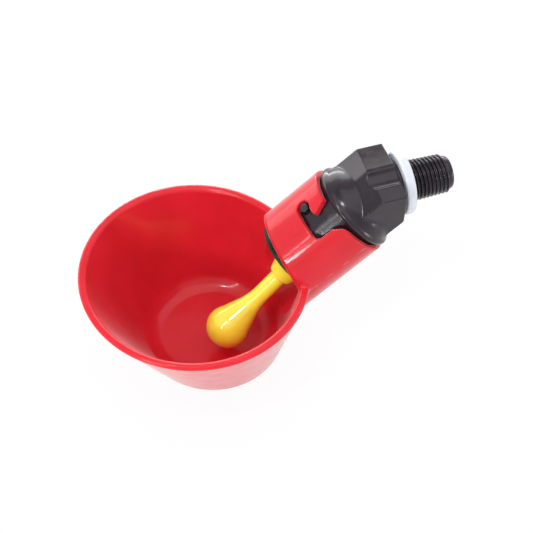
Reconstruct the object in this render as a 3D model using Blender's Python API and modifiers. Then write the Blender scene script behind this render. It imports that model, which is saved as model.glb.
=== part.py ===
"""Poultry drinking cup: a red cup that hangs by a bayonet on a black elbow valve with a peck trigger.

Metres, +Z up. The origin is on the inlet thread's axis, at the outer face of the sealing washer,
where the cup meets the water line's fitting. +X runs out along the thread. The cup's rim is level.

Places along the valve's slanting axis are given as t: 0 where the axis crosses the rim's plane,
growing up towards the elbow. The slanting frame has Z along t, Y as the world's, and -X upwards.
"""

import math

import bmesh
import bpy
from mathutils import Matrix, Vector

# Running clearance between pieces that seat on each other
GAP = 0.0003
# Points this close are made one
WELD = 1e-6

# Elbow and inlet
VALVE_TILT = math.radians(42.0)
ELBOW_TO_FACE = 0.01037
ELBOW_TO_RIM_PLANE = 0.03116
WASHER_RADIUS = 0.0105
WASHER_THICKNESS = 0.0032
WASHER_ROUND = 0.0006
THREAD_MAJOR_RADIUS = 0.0069
THREAD_TAPER = 1.0 / 32.0
THREAD_DEPTH = 0.0011
THREAD_LENGTH = 0.0132
SPIGOT_TIP_LENGTH = 0.0019
SPIGOT_TIP_RADIUS = 0.0054
INLET_BORE_RADIUS = 0.0034

# Grip head of the elbow
HEAD_HALF_WIDTH = 0.0118
HEAD_SHOULDER = 0.0072
HEAD_RIDGE = 0.0095
HEAD_VALLEY = 0.008
HEAD_VALLEY_SIDE = 0.0058
HEAD_BACK_SHOULDER = 0.0076
HEAD_UNDERSIDE = 0.0077
HEAD_START_T = 0.0215
FLUTE_WIDTH = 0.0066
FLUTE_DEPTH = 0.0012
FLUTE_START = 0.0012
BOSS_RADIUS = 0.0081
BOSS_STAND = 0.0011

# Bowl of the cup
RIM_RADIUS = 0.038
RIM_WIDTH = 0.0024
LIP_HEIGHT = 0.0022
LIP_STEP = 0.0008
LIP_ROUND = 0.0009
BOWL_DEPTH = 0.039
BOWL_WALL = 0.002
BASE_RADIUS = 0.0233
BASE_FORWARD = 0.007
BASE_ROUND = 0.003
FLOOR_THICKNESS = 0.0018
FLOOR_ROUND = 0.0045
FOOT_WIDTH = 0.003
FOOT_RECESS = 0.0006
AXIS_OUTSIDE_RIM = 0.00077

# Barrel of the cup, which takes the valve's sleeve
BARREL_STEP = 0.0006
BARREL_WALL = 0.0017
BARREL_TOP_T = 0.0196
BARREL_END_T = -0.026
BORE_END_T = -0.0242
BARREL_EDGE = 0.0004
MOUTH_TILT = math.radians(26.0)
MOUTH_T = -0.0034

# Bayonet: pins on the sleeve, J-shaped slots in the barrel
PIN_RADIUS = 0.0016
PIN_T = 0.0121
PIN_SINK = 0.0004
SLOT_LEG_WIDTH = 0.0044
SLOT_POCKET_RADIUS = 0.00235
SLOT_TONGUE_TIP = 0.0049
SLOT_TONGUE_ROOT = 0.0025
SLOT_FAR_SIDE = 0.0109
SLOT_FLARE = 0.0016
SLOT_CORNER = 0.0024
SLOT_TIP_ROUND = 0.0009

# Sleeve, flange and dome of the valve body
FLANGE_OVERLAP = 0.00127
FLANGE_STAND = 0.001
FLANGE_THICKNESS = 0.0023
FLANGE_ROUND = 0.0011
DOME_INSET = 0.00057
DOME_SHOULDER_RISE = 0.0015
DOME_TOP_RADIUS = 0.0085
DOME_TOP_RISE = 0.0068
SLEEVE_WALL = 0.0025
SLEEVE_END_T = -0.005

# Valve chamber and the pieces in it
SEAT_TOP_T = 0.0116
SEAT_THICKNESS = 0.0026
SEAT_HOLE_RADIUS = 0.0036
SEAT_LAND = 0.0029
SEAT_SHELF = 0.0023
CHAMBER_TOP_T = 0.0208
PASSAGE_RADIUS = 0.002
RETAINER_THROAT_STEP = 0.0009
RETAINER_LIP = 0.0025
RETAINER_RIM_THICKNESS = 0.0012
RETAINER_RIM_INSET = 0.0004
SPRING_PLAY = 0.001
SPRING_WIRE_RADIUS = 0.0003
SPRING_TURNS = 5
SPRING_BOTTOM_T = 0.0155
STRAINER_LENGTH = 0.0045
STRAINER_WALL = 0.0006
STRAINER_RIM_RADIUS = 0.0045
STRAINER_RIM_THICKNESS = 0.0008
STRAINER_HOLES = 6
STRAINER_HOLE_RADIUS = 0.0006

# Peck trigger: lengths run down its stem from the pivot
PIVOT_RISE = 0.0011
TRIGGER_LEAN = math.radians(8.9)
TRIGGER_RISE = math.radians(2.1)
HEAD_DISC_OVERLAP = 0.0011
HEAD_DISC_CLEARANCE = 0.0011
HEAD_DISC_THICKNESS = 0.0016
PEG_RADIUS = 0.0022
PEG_LENGTH = 0.0022
NECK_RADIUS = 0.0018
NECK_LENGTH = 0.0045
STEM_RADIUS = 0.00295
STEM_START = 0.009
COLLAR_TOP = 0.0198
COLLAR_WIDE_AT = 0.0218
COLLAR_BOTTOM = 0.0262
COLLAR_RADIUS = 0.0056
COLLAR_LIP_RADIUS = 0.004
COLLAR_EDGE = 0.0005
CONE_LENGTH = 0.0132
BULB_RADIUS = 0.0073
BULB_LIFT = 0.0053

# How finely round shapes are faceted
FINE = 64
MEDIUM = 40
COARSE = 24

# Places that follow from the sizes above
AXIS = Vector((math.cos(VALVE_TILT), 0.0, math.sin(VALVE_TILT)))
UP = Vector((-math.sin(VALVE_TILT), 0.0, math.cos(VALVE_TILT)))
ELBOW = Vector((-ELBOW_TO_FACE, 0.0, 0.0))
AXIS_AT_RIM = ELBOW - ELBOW_TO_RIM_PLANE * AXIS
RIM_CENTRE = AXIS_AT_RIM - Vector((RIM_RADIUS + AXIS_OUTSIDE_RIM, 0.0, 0.0))
FLOOR_Z = FOOT_RECESS + FLOOR_THICKNESS - BOWL_DEPTH
BOSS_FACE_X = -WASHER_THICKNESS - GAP
HEAD_FACE_X = BOSS_FACE_X - BOSS_STAND
HEAD_DISC_RADIUS = SEAT_HOLE_RADIUS + HEAD_DISC_OVERLAP
CHAMBER_RADIUS = HEAD_DISC_RADIUS + HEAD_DISC_CLEARANCE
SEAT_RADIUS = CHAMBER_RADIUS + SEAT_LAND
SLEEVE_BORE = SEAT_RADIUS + GAP + SEAT_SHELF
SLEEVE_RADIUS = SLEEVE_BORE + SLEEVE_WALL
BARREL_BORE = SLEEVE_RADIUS + GAP
BARREL_RADIUS = BARREL_BORE + BARREL_WALL
FLANGE_RADIUS = BARREL_BORE + FLANGE_OVERLAP
FLANGE_BOTTOM_T = BARREL_TOP_T + FLANGE_STAND
FLANGE_TOP_T = FLANGE_BOTTOM_T + FLANGE_THICKNESS
SEAT_BOTTOM_T = SEAT_TOP_T - SEAT_THICKNESS
SHOULDER_T = SEAT_TOP_T + GAP
RETAINER_TOP_T = SEAT_BOTTOM_T - GAP
RETAINER_BOTTOM_T = SLEEVE_END_T - GAP - RETAINER_RIM_THICKNESS
PIVOT_T = SEAT_TOP_T + PIVOT_RISE
SPIGOT_END_X = THREAD_LENGTH + SPIGOT_TIP_LENGTH

SLANTED = Matrix.Translation(AXIS_AT_RIM) @ Matrix.Rotation(math.pi / 2 - VALVE_TILT, 4, "Y")
ALONG_X = Matrix.Rotation(math.pi / 2, 4, "Y")
TRIGGER_TIP = Matrix.Rotation(-TRIGGER_LEAN, 4, "X") @ Matrix.Rotation(TRIGGER_RISE, 4, "Y")
TRIGGER_FRAME = SLANTED @ Matrix.Translation((0.0, 0.0, PIVOT_T)) @ TRIGGER_TIP
BULB_Z = RIM_CENTRE.z + FLOOR_Z + BULB_LIFT + BULB_RADIUS
BULB_AT = (TRIGGER_FRAME.translation.z - BULB_Z) / TRIGGER_FRAME.col[2].z


def arc(centre, radius, start, end, steps):
    """Points of an arc in the profile's plane; the angles are in degrees."""
    angles = [math.radians(start + (end - start) * i / steps) for i in range(steps + 1)]
    return [(centre[0] + radius * math.cos(a), centre[1] + radius * math.sin(a)) for a in angles]


def rounded_corner(before, corner, after, radius, steps=4):
    """The corner of an outline as an arc that meets both of its sides."""
    back = (Vector(before) - Vector(corner)).normalized()
    ahead = (Vector(after) - Vector(corner)).normalized()
    half = back.angle(ahead) / 2
    centre = Vector(corner) + (back + ahead).normalized() * (radius / math.sin(half))
    first = Vector(corner) + back * (radius / math.tan(half)) - centre
    last = Vector(corner) + ahead * (radius / math.tan(half)) - centre
    turn = first.angle_signed(last)
    points = []
    for i in range(steps + 1):
        angle = -turn * i / steps
        points.append(
            (
                centre.x + first.x * math.cos(angle) - first.y * math.sin(angle),
                centre.y + first.x * math.sin(angle) + first.y * math.cos(angle),
            )
        )
    return points


def clear_scene():
    for obj in list(bpy.data.objects):
        bpy.data.objects.remove(obj, do_unlink=True)


def new_collection(name):
    collection = bpy.data.collections.new(name)
    bpy.context.scene.collection.children.link(collection)
    return collection


def plastic(name, colour, roughness, metallic=0.0):
    material = bpy.data.materials.new(name)
    material.use_nodes = True
    shader = material.node_tree.nodes["Principled BSDF"]
    shader.inputs["Base Color"].default_value = (*colour, 1.0)
    shader.inputs["Roughness"].default_value = roughness
    shader.inputs["Metallic"].default_value = metallic
    return material


def new_object(name, mesh, matrix=None):
    obj = bpy.data.objects.new(name, mesh)
    bpy.context.scene.collection.objects.link(obj)
    if matrix is not None:
        obj.matrix_world = matrix
    return obj


def turned(name, profile, matrix, segments, closed=False):
    """A solid turned about its own Z from (radius, height) points that run down its outer side."""
    mesh = bpy.data.meshes.new(name)
    edges = [(i, i + 1) for i in range(len(profile) - 1)]
    if closed:
        edges.append((len(profile) - 1, 0))
    mesh.from_pydata([(radius, 0.0, height) for radius, height in profile], edges, [])
    obj = new_object(name, mesh, matrix)
    screw = obj.modifiers.new("Turn", "SCREW")
    screw.axis = "Z"
    screw.steps = segments
    screw.render_steps = segments
    screw.use_merge_vertices = True
    screw.merge_threshold = 1e-6
    screw.use_smooth_shade = True
    return obj


def prism(name, outline, low, high, matrix):
    """A flat outline in the XY plane, extruded along its own Z from low to high."""
    mesh = bpy.data.meshes.new(name)
    shape = bmesh.new()
    face = shape.faces.new([shape.verts.new((x, y, low)) for x, y in outline])
    top = bmesh.ops.extrude_face_region(shape, geom=[face])["geom"]
    moved = [item for item in top if isinstance(item, bmesh.types.BMVert)]
    bmesh.ops.translate(shape, verts=moved, vec=(0.0, 0.0, high - low))
    bmesh.ops.recalc_face_normals(shape, faces=shape.faces)
    shape.to_mesh(mesh)
    shape.free()
    return new_object(name, mesh, matrix)


def frozen(obj):
    """Replaces the object's mesh by its evaluated one, welded and with no face over four corners."""
    bpy.context.view_layer.update()
    evaluated = obj.evaluated_get(bpy.context.evaluated_depsgraph_get())
    mesh = bpy.data.meshes.new_from_object(evaluated)
    shape = bmesh.new()
    shape.from_mesh(mesh)
    bmesh.ops.remove_doubles(shape, verts=shape.verts, dist=WELD)
    bmesh.ops.triangulate(shape, faces=[face for face in shape.faces if len(face.verts) > 4])
    shape.to_mesh(mesh)
    shape.free()
    obj.modifiers.clear()
    obj.data = mesh
    return obj


def combine(obj, other, operation):
    """Adds the other object to this one, or cuts it away, and hides it as a helper."""
    boolean = obj.modifiers.new(f"{operation} {other.name}", "BOOLEAN")
    boolean.operation = operation
    boolean.object = other
    boolean.solver = "EXACT"
    other.hide_render = True
    other.display_type = "WIRE"
    for collection in list(other.users_collection):
        collection.objects.unlink(other)
    HELPERS.objects.link(other)


def keep(obj, material):
    """Puts a finished piece in the product's collection, with its material and smooth rounds."""
    frozen(obj)
    obj.data.materials.clear()
    obj.data.materials.append(material)
    obj.data.shade_smooth()
    obj.data.set_sharp_from_angle(angle=math.radians(30.0))
    for collection in list(obj.users_collection):
        collection.objects.unlink(obj)
    PRODUCT.objects.link(obj)


def leaned(obj):
    """Leans a turned bowl shape so that its base stands forward of its rim."""
    lean = Matrix.Identity(4)
    lean[0][2] = -BASE_FORWARD / BOWL_DEPTH
    obj.data.transform(lean)
    return obj


def bowl():
    """The bowl, with its rim at height 0."""
    inner_rim = RIM_RADIUS - RIM_WIDTH
    inner_base = BASE_RADIUS - BOWL_WALL
    foot_inner = BASE_RADIUS - BASE_ROUND - FOOT_WIDTH
    under_lip = (RIM_RADIUS - LIP_STEP, -LIP_HEIGHT - LIP_STEP)
    floor_corner = (inner_base, FLOOR_Z)
    profile = [(0.0, FLOOR_Z)]
    profile += rounded_corner((0.0, FLOOR_Z), floor_corner, (inner_rim, 0.0), FLOOR_ROUND, 6)
    profile += rounded_corner(floor_corner, (inner_rim, 0.0), (RIM_RADIUS, 0.0), LIP_ROUND, 4)
    profile += arc((RIM_RADIUS - LIP_ROUND, -LIP_ROUND), LIP_ROUND, 90.0, 0.0, 4)
    profile += [(RIM_RADIUS, -LIP_HEIGHT), under_lip]
    profile += rounded_corner(under_lip, (BASE_RADIUS, -BOWL_DEPTH), (0.0, -BOWL_DEPTH), BASE_ROUND, 5)
    profile += [
        (foot_inner, -BOWL_DEPTH),
        (foot_inner - FOOT_RECESS, -BOWL_DEPTH + FOOT_RECESS),
        (0.0, -BOWL_DEPTH + FOOT_RECESS),
    ]
    return leaned(frozen(turned("cup", profile, Matrix.Translation(RIM_CENTRE), FINE)))


def bowl_space():
    """The space in and above the bowl, grown into half of its wall, up to the plane of the barrel's mouth."""
    radius = RIM_RADIUS - RIM_WIDTH / 2
    base_radius = BASE_RADIUS - BOWL_WALL / 2
    floor = FLOOR_Z - FLOOR_THICKNESS / 2
    profile = [
        (0.0, BOWL_DEPTH),
        (radius, BOWL_DEPTH),
        (radius, 0.0),
        (base_radius, floor),
        (0.0, floor),
    ]
    space = leaned(frozen(turned("bowl_space", profile, Matrix.Translation(RIM_CENTRE), FINE)))
    mouth_top = AXIS_AT_RIM + MOUTH_T * AXIS + (BARREL_RADIUS + BARREL_STEP) * UP
    plane = Matrix.Translation(mouth_top) @ Matrix.Rotation(math.pi / 2 - MOUTH_TILT, 4, "Y")
    side = 3.0 * BOWL_DEPTH
    square = [(-side, -side), (side, -side), (side, side), (-side, side)]
    combine(space, prism("before_mouth", square, -side, 0.0, plane), "INTERSECT")
    return frozen(space)


def barrel():
    """The socket tube, its upper half one step prouder than its lower half, cut off at the mouth."""
    outline = arc((0.0, 0.0), BARREL_RADIUS + BARREL_STEP, 90.0, 270.0, FINE // 2)
    outline += arc((0.0, 0.0), BARREL_RADIUS, -90.0, 90.0, FINE // 2)
    obj = prism("barrel", outline, BARREL_END_T, BARREL_TOP_T, SLANTED)
    shape = bmesh.new()
    shape.from_mesh(obj.data)
    top_edges = [
        edge
        for edge in shape.edges
        if all(abs(vert.co.z - BARREL_TOP_T) < 1e-6 for vert in edge.verts)
    ]
    bmesh.ops.bevel(
        shape, geom=top_edges, offset=BARREL_EDGE, segments=2, profile=0.5, affect="EDGES"
    )
    shape.to_mesh(obj.data)
    shape.free()
    combine(obj, bowl_space(), "DIFFERENCE")
    return frozen(obj)


def slot_outline():
    """One J-shaped slot as (t, distance round from the pin) points, from the pocket to the mouth."""
    floor = PIN_T - SLOT_LEG_WIDTH / 2 - GAP
    ceiling = floor + SLOT_LEG_WIDTH
    pocket_t = floor + SLOT_POCKET_RADIUS
    ceiling_angle = math.degrees(math.acos((ceiling - pocket_t) / SLOT_POCKET_RADIUS))
    beyond = BARREL_TOP_T + SLOT_CORNER
    flare_t = BARREL_TOP_T - 2.0 * SLOT_FLARE
    tongue_rise = BARREL_TOP_T - ceiling
    tongue_slope = (SLOT_TONGUE_TIP - SLOT_TONGUE_ROOT) / tongue_rise
    tip = (ceiling, SLOT_TONGUE_TIP)
    root = (beyond, SLOT_TONGUE_ROOT - tongue_slope * SLOT_CORNER)
    corner = (floor, SLOT_FAR_SIDE)
    points = [(floor, 0.0)]
    points += rounded_corner((floor, 0.0), corner, (beyond, SLOT_FAR_SIDE), SLOT_CORNER, 5)
    points += [
        (flare_t, SLOT_FAR_SIDE),
        (BARREL_TOP_T, SLOT_FAR_SIDE + SLOT_FLARE),
        (beyond, SLOT_FAR_SIDE + SLOT_FLARE),
        root,
    ]
    points += rounded_corner(root, tip, (ceiling, 0.0), SLOT_TIP_ROUND, 4)
    points += arc((pocket_t, 0.0), SLOT_POCKET_RADIUS, ceiling_angle, -180.0, 10)[:-1]
    return points


def slot_cutter(name, turn):
    """The slot's outline pushed straight in through the barrel's wall, as a mould's slide does."""
    outline = [(t, -around) for t, around in slot_outline()]
    facing_up = Matrix.Rotation(-math.pi / 2, 4, "Y")
    matrix = SLANTED @ Matrix.Rotation(turn, 4, "Z") @ facing_up
    return prism(name, outline, BARREL_RADIUS / 3, BARREL_RADIUS + 2 * BARREL_WALL, matrix)


def cup():
    obj = bowl()
    combine(obj, barrel(), "UNION")
    frozen(obj)
    beyond = BARREL_TOP_T + BARREL_WALL
    bore = [(0.0, beyond), (BARREL_BORE, beyond), (BARREL_BORE, BORE_END_T), (0.0, BORE_END_T)]
    combine(obj, turned("barrel_bore", bore, SLANTED, FINE), "DIFFERENCE")
    combine(obj, slot_cutter("upper_slot", 0.0), "DIFFERENCE")
    combine(obj, slot_cutter("lower_slot", math.pi), "DIFFERENCE")
    keep(obj, plastic("red_plastic", (0.72, 0.02, 0.035), 0.32))


def head_section():
    """The grip head's outline across the pipe, as (sideways, upwards) points; its back has a valley."""
    return [
        (-HEAD_HALF_WIDTH, -HEAD_UNDERSIDE),
        (-HEAD_HALF_WIDTH, HEAD_SHOULDER),
        (0.0, HEAD_RIDGE),
        (HEAD_VALLEY_SIDE, HEAD_VALLEY),
        (HEAD_HALF_WIDTH, HEAD_BACK_SHOULDER),
        (HEAD_HALF_WIDTH, -HEAD_UNDERSIDE),
    ]


def head():
    """The head: its roof turns the corner at the elbow, its underside runs straight on to the face."""
    mesh = bpy.data.meshes.new("head")
    shape = bmesh.new()
    lean = math.tan(VALVE_TILT / 2)
    rings = []
    for place in ("start", "mitre", "face"):
        ring = []
        for side, rise in head_section():
            across = AXIS_AT_RIM + HEAD_START_T * AXIS + rise * UP
            at_mitre = ELBOW + Vector((-lean * rise, 0.0, rise))
            if place == "start":
                point = across
            elif place == "mitre":
                point = at_mitre
            elif rise > 0.0:
                point = Vector((HEAD_FACE_X, 0.0, rise))
            else:
                point = at_mitre + AXIS * ((HEAD_FACE_X - at_mitre.x) / AXIS.x)
            ring.append(shape.verts.new(point + Vector((0.0, side, 0.0))))
        rings.append(ring)
    for ring, following in zip(rings, rings[1:]):
        for i in range(len(ring)):
            after = (i + 1) % len(ring)
            shape.faces.new((ring[i], ring[after], following[after], following[i]))
    shape.faces.new(rings[0])
    shape.faces.new(rings[-1])
    bmesh.ops.recalc_face_normals(shape, faces=shape.faces)
    shape.to_mesh(mesh)
    shape.free()
    return new_object("head", mesh)


def flute_cutter():
    """The round groove in front of the roof's ridge, which starts in a ball near the mitre."""
    radius = (FLUTE_WIDTH**2 / 4 + FLUTE_DEPTH**2) / (2 * FLUTE_DEPTH)
    fall = (HEAD_RIDGE - HEAD_SHOULDER) / HEAD_HALF_WIDTH
    roof = Vector((1.0, -fall)).normalized()
    middle = Vector((0.0, HEAD_RIDGE)) + roof * (FLUTE_WIDTH / 2 + GAP)
    centre = middle + Vector((-roof.y, roof.x)) * (radius - FLUTE_DEPTH)
    from_mitre = FLUTE_START - math.tan(VALVE_TILT / 2) * centre.y
    start = ELBOW + Vector((from_mitre, -centre.x, centre.y))
    length = 3.0 * ELBOW_TO_FACE
    profile = [(0.0, length), (radius, length)] + arc((0.0, 0.0), radius, 0.0, -90.0, 8)
    return turned("front_flute", profile, Matrix.Translation(start) @ ALONG_X, FINE)


def valve_body():
    dome_shoulder_t = FLANGE_TOP_T + DOME_SHOULDER_RISE
    dome_top_t = FLANGE_TOP_T + DOME_TOP_RISE
    flange_edge = FLANGE_RADIUS - FLANGE_ROUND
    profile = [(0.0, dome_top_t), (DOME_TOP_RADIUS, dome_top_t)]
    profile.append((FLANGE_RADIUS - DOME_INSET, dome_shoulder_t))
    profile += arc((flange_edge, FLANGE_TOP_T - FLANGE_ROUND), FLANGE_ROUND, 60.0, 0.0, 3)
    profile += arc((flange_edge, FLANGE_BOTTOM_T + FLANGE_ROUND), FLANGE_ROUND, 0.0, -90.0, 3)
    profile += [
        (SLEEVE_RADIUS, FLANGE_BOTTOM_T),
        (SLEEVE_RADIUS, SLEEVE_END_T),
        (0.0, SLEEVE_END_T),
    ]
    obj = turned("valve_body", profile, SLANTED, FINE)

    grip = head()
    combine(grip, flute_cutter(), "DIFFERENCE")
    frozen(grip)
    boss = [(0.0, BOSS_FACE_X), (BOSS_RADIUS, BOSS_FACE_X)]
    boss += [(BOSS_RADIUS, -ELBOW_TO_FACE), (0.0, -ELBOW_TO_FACE)]
    combine(grip, turned("inlet_boss", boss, ALONG_X, MEDIUM), "UNION")
    frozen(grip)
    combine(grip, spigot(), "UNION")
    combine(obj, frozen(grip), "UNION")
    frozen(obj)

    for name, turn in (("upper_pin", 0.0), ("lower_pin", math.pi)):
        reach = BARREL_RADIUS + BARREL_STEP - PIN_SINK
        peg = [(0.0, reach), (PIN_RADIUS, reach), (PIN_RADIUS, SLEEVE_BORE + GAP), (0.0, SLEEVE_BORE + GAP)]
        outward = SLANTED @ Matrix.Rotation(turn, 4, "Z") @ Matrix.Translation((0.0, 0.0, PIN_T))
        combine(obj, turned(name, peg, outward @ Matrix.Rotation(-math.pi / 2, 4, "Y"), COARSE), "UNION")

    below = SLEEVE_END_T - SLEEVE_WALL
    chamber = [
        (0.0, ELBOW_TO_RIM_PLANE),
        (PASSAGE_RADIUS, ELBOW_TO_RIM_PLANE),
        (PASSAGE_RADIUS, CHAMBER_TOP_T),
        (CHAMBER_RADIUS, CHAMBER_TOP_T),
        (CHAMBER_RADIUS, SHOULDER_T),
        (SEAT_RADIUS + GAP, SHOULDER_T),
        (SEAT_RADIUS + GAP, SEAT_BOTTOM_T),
        (SLEEVE_BORE, SEAT_BOTTOM_T),
        (SLEEVE_BORE, below),
        (0.0, below),
    ]
    combine(obj, turned("valve_chamber", chamber, SLANTED, MEDIUM), "DIFFERENCE")
    strainer_seat = SPIGOT_END_X - STRAINER_RIM_THICKNESS
    inlet = [
        (0.0, SPIGOT_END_X + SPIGOT_TIP_LENGTH),
        (STRAINER_RIM_RADIUS + GAP, SPIGOT_END_X + SPIGOT_TIP_LENGTH),
        (STRAINER_RIM_RADIUS + GAP, strainer_seat - GAP),
        (INLET_BORE_RADIUS, strainer_seat - GAP),
        (INLET_BORE_RADIUS, -ELBOW_TO_FACE),
        (0.0, -ELBOW_TO_FACE),
    ]
    combine(obj, turned("inlet_bore", inlet, ALONG_X, COARSE), "DIFFERENCE")
    keep(obj, plastic("black_plastic", (0.03, 0.028, 0.03), 0.42))


def spigot():
    """The tapered inlet spigot at its crests' size, with its plain chamfered tip."""
    root = THREAD_MAJOR_RADIUS - THREAD_DEPTH / 2
    crest_end = THREAD_MAJOR_RADIUS - THREAD_TAPER * THREAD_LENGTH
    profile = [
        (0.0, SPIGOT_END_X),
        (SPIGOT_TIP_RADIUS, SPIGOT_END_X),
        (crest_end - THREAD_DEPTH / 2, THREAD_LENGTH + THREAD_DEPTH),
        (crest_end - THREAD_DEPTH / 2, THREAD_LENGTH),
        (crest_end, THREAD_LENGTH),
        (THREAD_MAJOR_RADIUS, 0.0),
        (root, -THREAD_DEPTH / 2),
        (root, -ELBOW_TO_FACE / 2),
        (0.0, -ELBOW_TO_FACE / 2),
    ]
    return turned("spigot", profile, ALONG_X, MEDIUM)


def ring(name, outer, inner, high, low, matrix, segments, material):
    profile = [(outer, high), (outer, low), (inner, low), (inner, high)]
    keep(turned(name, profile, matrix, segments, closed=True), material)


def sealing_washer():
    inner = THREAD_MAJOR_RADIUS + GAP
    edge = WASHER_RADIUS - WASHER_ROUND
    profile = arc((edge, -WASHER_ROUND), WASHER_ROUND, 90.0, 0.0, 3)
    profile += arc((edge, WASHER_ROUND - WASHER_THICKNESS), WASHER_ROUND, 0.0, -90.0, 3)
    profile += [(inner, -WASHER_THICKNESS), (inner, 0.0)]
    washer = turned("sealing_washer", profile, ALONG_X, FINE, closed=True)
    keep(washer, plastic("milky_plastic", (0.82, 0.86, 0.9), 0.4))


def seat_ring():
    rubber = plastic("black_rubber", (0.02, 0.02, 0.02), 0.7)
    ring("seat_ring", SEAT_RADIUS, SEAT_HOLE_RADIUS, SEAT_TOP_T, SEAT_BOTTOM_T, SLANTED, MEDIUM, rubber)


def retainer():
    """The plug that holds the seat ring up in the sleeve, with a flared throat for the trigger."""
    outer = SLEEVE_BORE - GAP
    rim = SLEEVE_RADIUS - RETAINER_RIM_INSET
    rim_top = SLEEVE_END_T - GAP
    profile = [
        (outer, RETAINER_TOP_T),
        (outer, rim_top),
        (rim, rim_top),
        (rim, RETAINER_BOTTOM_T),
        (outer - RETAINER_LIP, RETAINER_BOTTOM_T),
        (SEAT_HOLE_RADIUS + RETAINER_THROAT_STEP, RETAINER_TOP_T),
    ]
    plug = turned("seat_retainer", profile, SLANTED, FINE, closed=True)
    keep(plug, plastic("dark_green_plastic", (0.02, 0.06, 0.04), 0.4))


def valve_spring():
    """The stainless coil spring between the chamber's roof and the trigger's head."""
    top = CHAMBER_TOP_T - GAP - SPRING_WIRE_RADIUS
    radius = PEG_RADIUS + SPRING_PLAY + SPRING_WIRE_RADIUS
    points_per_turn = 14
    count = SPRING_TURNS * points_per_turn
    curve = bpy.data.curves.new("valve_spring", "CURVE")
    curve.dimensions = "3D"
    curve.bevel_depth = SPRING_WIRE_RADIUS
    curve.bevel_resolution = 2
    curve.use_fill_caps = True
    spline = curve.splines.new("POLY")
    spline.points.add(count)
    for i in range(count + 1):
        angle = 2.0 * math.pi * i / points_per_turn
        t = SPRING_BOTTOM_T + (top - SPRING_BOTTOM_T) * i / count
        spline.points[i].co = (radius * math.cos(angle), radius * math.sin(angle), t, 1.0)
    obj = new_object("spring_guide", curve, SLANTED)
    bpy.context.view_layer.update()
    evaluated = obj.evaluated_get(bpy.context.evaluated_depsgraph_get())
    mesh = bpy.data.meshes.new_from_object(evaluated)
    shape = bmesh.new()
    shape.from_mesh(mesh)
    bmesh.ops.remove_doubles(shape, verts=shape.verts, dist=1e-6)
    bmesh.ops.recalc_face_normals(shape, faces=shape.faces)
    shape.to_mesh(mesh)
    shape.free()
    coil = new_object("valve_spring", mesh, obj.matrix_world.copy())
    bpy.data.objects.remove(obj, do_unlink=True)
    keep(coil, plastic("stainless_steel", (0.62, 0.62, 0.6), 0.28, 1.0))


def inlet_strainer():
    """The thimble-shaped strainer in the spigot's end, open outwards, with a ring of holes."""
    outer = INLET_BORE_RADIUS - GAP
    inner = outer - STRAINER_WALL
    front = SPIGOT_END_X
    under_rim = front - STRAINER_RIM_THICKNESS
    bottom = under_rim - STRAINER_LENGTH
    profile = [
        (0.0, bottom + STRAINER_WALL),
        (inner, bottom + STRAINER_WALL),
        (inner, front),
        (STRAINER_RIM_RADIUS, front),
        (STRAINER_RIM_RADIUS, under_rim),
        (outer, under_rim),
        (outer, bottom),
        (0.0, bottom),
    ]
    obj = turned("inlet_strainer", profile, ALONG_X, COARSE)
    hole = [
        (0.0, STRAINER_WALL),
        (STRAINER_HOLE_RADIUS, STRAINER_WALL),
        (STRAINER_HOLE_RADIUS, -STRAINER_WALL),
        (0.0, -STRAINER_WALL),
    ]
    for i in range(STRAINER_HOLES):
        around = Matrix.Rotation(2.0 * math.pi * i / STRAINER_HOLES, 4, "Z")
        place = Matrix.Translation((inner * 0.6, 0.0, bottom + STRAINER_WALL / 2))
        combine(obj, turned(f"strainer_hole_{i}", hole, ALONG_X @ around @ place, 10), "DIFFERENCE")
    keep(obj, plastic("white_plastic", (0.8, 0.8, 0.78), 0.4))


def trigger():
    """The yellow peck trigger, leaning to the front about its pivot just above the seat."""
    cone_angle = math.asin((BULB_RADIUS - STEM_RADIUS) / CONE_LENGTH)
    touch_radius = BULB_RADIUS * math.cos(cone_angle)
    touch_at = BULB_AT - BULB_RADIUS * math.sin(cone_angle)
    start = math.degrees(math.atan2(BULB_AT - touch_at, touch_radius))
    profile = [
        (0.0, HEAD_DISC_THICKNESS + PEG_LENGTH),
        (PEG_RADIUS, HEAD_DISC_THICKNESS + PEG_LENGTH),
        (PEG_RADIUS, HEAD_DISC_THICKNESS),
        (HEAD_DISC_RADIUS, HEAD_DISC_THICKNESS),
        (HEAD_DISC_RADIUS, 0.0),
        (NECK_RADIUS, 0.0),
        (NECK_RADIUS, -NECK_LENGTH),
        (STEM_RADIUS, -STEM_START),
        (STEM_RADIUS, -COLLAR_TOP),
        (COLLAR_RADIUS, -COLLAR_WIDE_AT),
        (COLLAR_LIP_RADIUS, COLLAR_EDGE - COLLAR_BOTTOM),
        (COLLAR_LIP_RADIUS - COLLAR_EDGE, -COLLAR_BOTTOM),
        (STEM_RADIUS, -COLLAR_BOTTOM),
        (STEM_RADIUS, CONE_LENGTH - BULB_AT),
    ]
    profile += arc((0.0, -BULB_AT), BULB_RADIUS, start, -90.0, 14)
    obj = turned("trigger", profile, TRIGGER_FRAME, MEDIUM)
    keep(obj, plastic("yellow_plastic", (0.98, 0.78, 0.03), 0.3))


clear_scene()
PRODUCT = new_collection("poultry_drinking_cup")
HELPERS = new_collection("helpers")
cup()
valve_body()
sealing_washer()
seat_ring()
retainer()
valve_spring()
inlet_strainer()
trigger()
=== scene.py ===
"""Poultry drinking cup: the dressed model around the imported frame.

Each visible moulding is an implicit solid: signed distances in millimetres, written from the same
sizes as the CAD part, meshed finely, with its edges rounded as a mould rounds them. A distance
function takes an array of places, one to a row, and gives one distance for each, negative inside.
"""

import math

import bpy
import numpy as np
from mathutils import Matrix, Vector


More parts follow.
